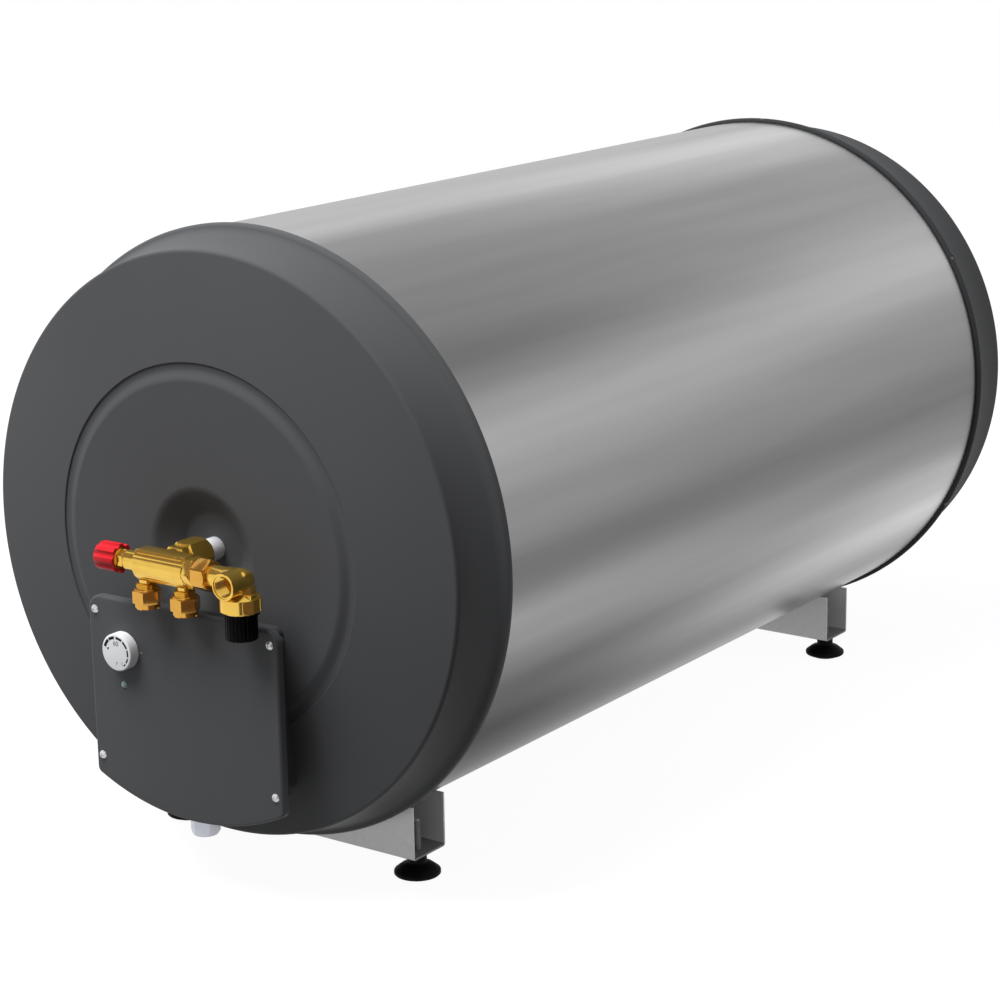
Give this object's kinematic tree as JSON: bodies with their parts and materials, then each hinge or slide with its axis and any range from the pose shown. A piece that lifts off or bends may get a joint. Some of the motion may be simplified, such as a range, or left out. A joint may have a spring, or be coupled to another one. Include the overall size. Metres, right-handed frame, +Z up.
{
  "type": "storage water heater",
  "caption": "Horizontal electric storage water heater: a steel jacket with dark end caps, a brass mixing and safety valve group, a control cover and levelling feet.",
  "frame": {"origin": "bottom centre of the bounding box, on the floor under the feet", "axes": "+Z up, -Y towards the valve group and the control cover, +X to the right as seen from that front"},
  "size_m": [0.5888, 1.193, 0.6227],
  "materials": {
    "jacket_steel": "satin stainless sheet",
    "dark_plastic": "fine matt, dark grey",
    "zinc": "bright zinc plate",
    "foam": "rigid foam",
    "tank_steel": "enamelled steel",
    "pipe_steel": "bright, drawn",
    "copper": "bare copper",
    "rubber": "plain",
    "white_plastic": "half gloss, off-white",
    "stud_steel": "dull steel",
    "black_plastic": "half gloss, black",
    "lamp_lens": "clear lens with a green cast",
    "grey_plastic": "light grey moulding",
    "brass": "polished",
    "red_plastic": "gloss",
    "grey_sheet": "plain grey",
    "pad_rubber": "black moulding"
  },
  "bodies": {
    "heater": {"jacket": "jacket_steel", "front_cap": "dark_plastic", "rear_cap": "dark_plastic", "control_box": "dark_plastic", "cover_plate": "dark_plastic", "rear_cap_screws": "zinc", "flange_bolts": "zinc", "box_screws": "zinc", "cover_screws": "zinc", "channel_bolts": "zinc", "insulation": "foam", "tank_barrel": "tank_steel", "tank_front_head": "tank_steel", "tank_rear_head": "tank_steel", "cold_tube": "tank_steel", "element_neck": "tank_steel", "element_flange": "tank_steel", "pipe_stub": "pipe_steel", "hot_tube": "copper", "heating_element": "copper", "sensor_pocket": "copper", "sensor_capillary": "copper", "flange_gasket": "rubber", "gland_seal": "rubber", "thermostat": "white_plastic", "terminal_block": "white_plastic", "mixer_cartridge": "white_plastic", "check_valve": "white_plastic", "safety_spring": "stud_steel", "thermal_cutout": "black_plastic", "wiring": "black_plastic", "safety_bonnet": "black_plastic", "lamp_lens": "lamp_lens", "gland_body": "grey_plastic", "gland_locknut": "grey_plastic", "gland_nut": "grey_plastic", "pipe_olive": "brass", "back_nut": "brass", "mixer_body": "brass", "mixer_bonnet": "brass", "outlet_olives": "brass", "outlet_nuts": "brass", "union_nut": "brass", "safety_body": "brass", "front_channel": "grey_sheet", "rear_channel": "grey_sheet"},
    "dial": {"dial": "white_plastic", "thermostat_spindle": "stud_steel"},
    "mixer_knob": {"mixer_knob": "red_plastic", "mixer_spindle": "brass"},
    "safety_knob": {"safety_knob": "black_plastic"},
    "safety_stem": {"safety_stem": "stud_steel"},
    "pad_fl": {"pad_front_left": "pad_rubber"},
    "stud_fl": {"stud_front_left": "stud_steel"},
    "pad_fr": {"pad_front_right": "pad_rubber"},
    "stud_fr": {"stud_front_right": "stud_steel"},
    "pad_rl": {"pad_rear_left": "pad_rubber"},
    "stud_rl": {"stud_rear_left": "stud_steel"},
    "pad_rr": {"pad_rear_right": "pad_rubber"},
    "stud_rr": {"stud_rear_right": "stud_steel"}
  },
  "joints": [
    {"name": "dial_turn", "type": "hinge", "parent": "heater", "child": "dial", "pos_m": [-0.071, -0.5615, 0.232], "axis": [0, -1, 0], "range_deg": [-180, 45]},
    {"name": "mixer_turn", "type": "hinge", "parent": "heater", "child": "mixer_knob", "pos_m": [-0.064, -0.5735, 0.328], "axis": [1, 0, 0], "range_deg": [-150, 150]},
    {"name": "safety_turn", "type": "hinge", "parent": "heater", "child": "safety_knob", "pos_m": [0.091, -0.5735, 0.287], "axis": [0, 0, 1], "range_deg": [0, 60]},
    {"name": "safety_lift", "type": "slide", "parent": "heater", "child": "safety_stem", "axis": [0, 0, -1], "range_m": [0, 0.0015], "deforming": ["safety_spring"]},
    {"name": "foot_fl_height", "type": "slide", "parent": "heater", "child": "pad_fl", "axis": [0, 0, -1], "range_m": [0, 0.025]},
    {"name": "foot_fl_screw", "type": "hinge", "parent": "pad_fl", "child": "stud_fl", "pos_m": [-0.145, -0.3975, 0.028], "axis": [0, 0, -1], "range_deg": [0, 7200]},
    {"name": "foot_fr_height", "type": "slide", "parent": "heater", "child": "pad_fr", "axis": [0, 0, -1], "range_m": [0, 0.025]},
    {"name": "foot_fr_screw", "type": "hinge", "parent": "pad_fr", "child": "stud_fr", "pos_m": [0.145, -0.3975, 0.028], "axis": [0, 0, -1], "range_deg": [0, 7200]},
    {"name": "foot_rl_height", "type": "slide", "parent": "heater", "child": "pad_rl", "axis": [0, 0, -1], "range_m": [0, 0.025]},
    {"name": "foot_rl_screw", "type": "hinge", "parent": "pad_rl", "child": "stud_rl", "pos_m": [-0.145, 0.4095, 0.028], "axis": [0, 0, -1], "range_deg": [0, 7200]},
    {"name": "foot_rr_height", "type": "slide", "parent": "heater", "child": "pad_rr", "axis": [0, 0, -1], "range_m": [0, 0.025]},
    {"name": "foot_rr_screw", "type": "hinge", "parent": "pad_rr", "child": "stud_rr", "pos_m": [0.145, 0.4095, 0.028], "axis": [0, 0, -1], "range_deg": [0, 7200]}
  ],
  "couplings": [
    {"joint": "safety_lift", "follows": "safety_turn", "m_per_rad": 0.001432},
    {"joint": "foot_fl_screw", "follows": "foot_fl_height", "rad_per_m": 5026.5},
    {"joint": "foot_fr_screw", "follows": "foot_fr_height", "rad_per_m": 5026.5},
    {"joint": "foot_rl_screw", "follows": "foot_rl_height", "rad_per_m": 5026.5},
    {"joint": "foot_rr_screw", "follows": "foot_rr_height", "rad_per_m": 5026.5}
  ]
}
